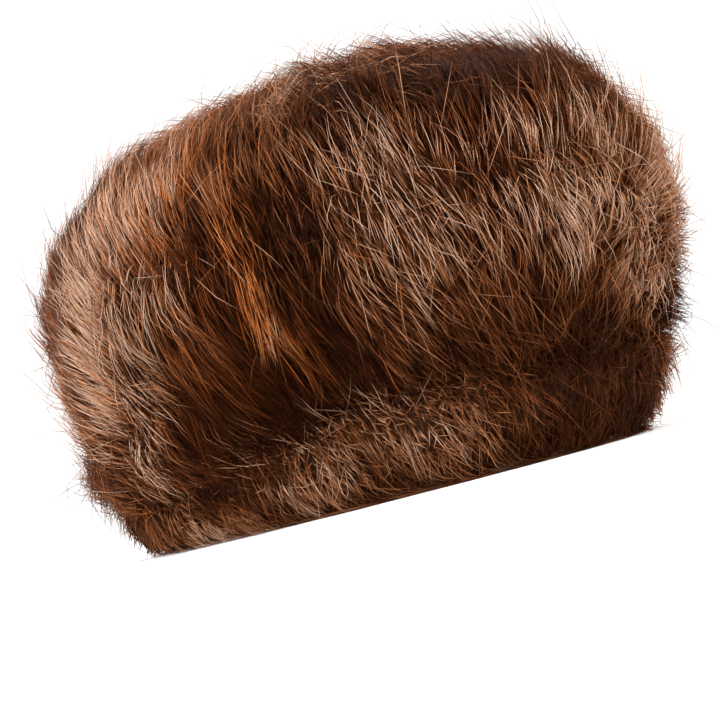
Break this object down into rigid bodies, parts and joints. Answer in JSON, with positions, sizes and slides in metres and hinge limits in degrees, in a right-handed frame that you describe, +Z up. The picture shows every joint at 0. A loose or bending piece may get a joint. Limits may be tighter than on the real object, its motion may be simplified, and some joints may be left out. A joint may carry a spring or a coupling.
{
  "type": "ushanka",
  "caption": "Brown full-fur ushanka with its front, ear and neck flaps folded up round a hollow domed crown, resting on its fur rim band.",
  "frame": {"origin": "middle of the footprint, on the surface that the rim rests on", "axes": "+Z up through the crown, the front of the hat faces -Y, the wearer's right is -X"},
  "size_m": [0.2602, 0.2954, 0.1844],
  "materials": {
    "hide": "matt brown suede, plain inside",
    "crown_fur": "deep brown fur, long guard hair over dark underfur",
    "flap_fur": "deep brown fur, long tan-tipped guard hair over dark underfur",
    "rim_fur": "dense short brown fur with loose longer hairs",
    "tape": "matt woven tape"
  },
  "bodies": {
    "root": {"crown": "hide", "crown_fur": "crown_fur", "front_flap": "flap_fur", "right_ear_flap": "flap_fur", "left_ear_flap": "flap_fur", "neck_flap": "flap_fur", "rim_band": "rim_fur", "flap_tie": "tape"}
  },
  "joints": []
}
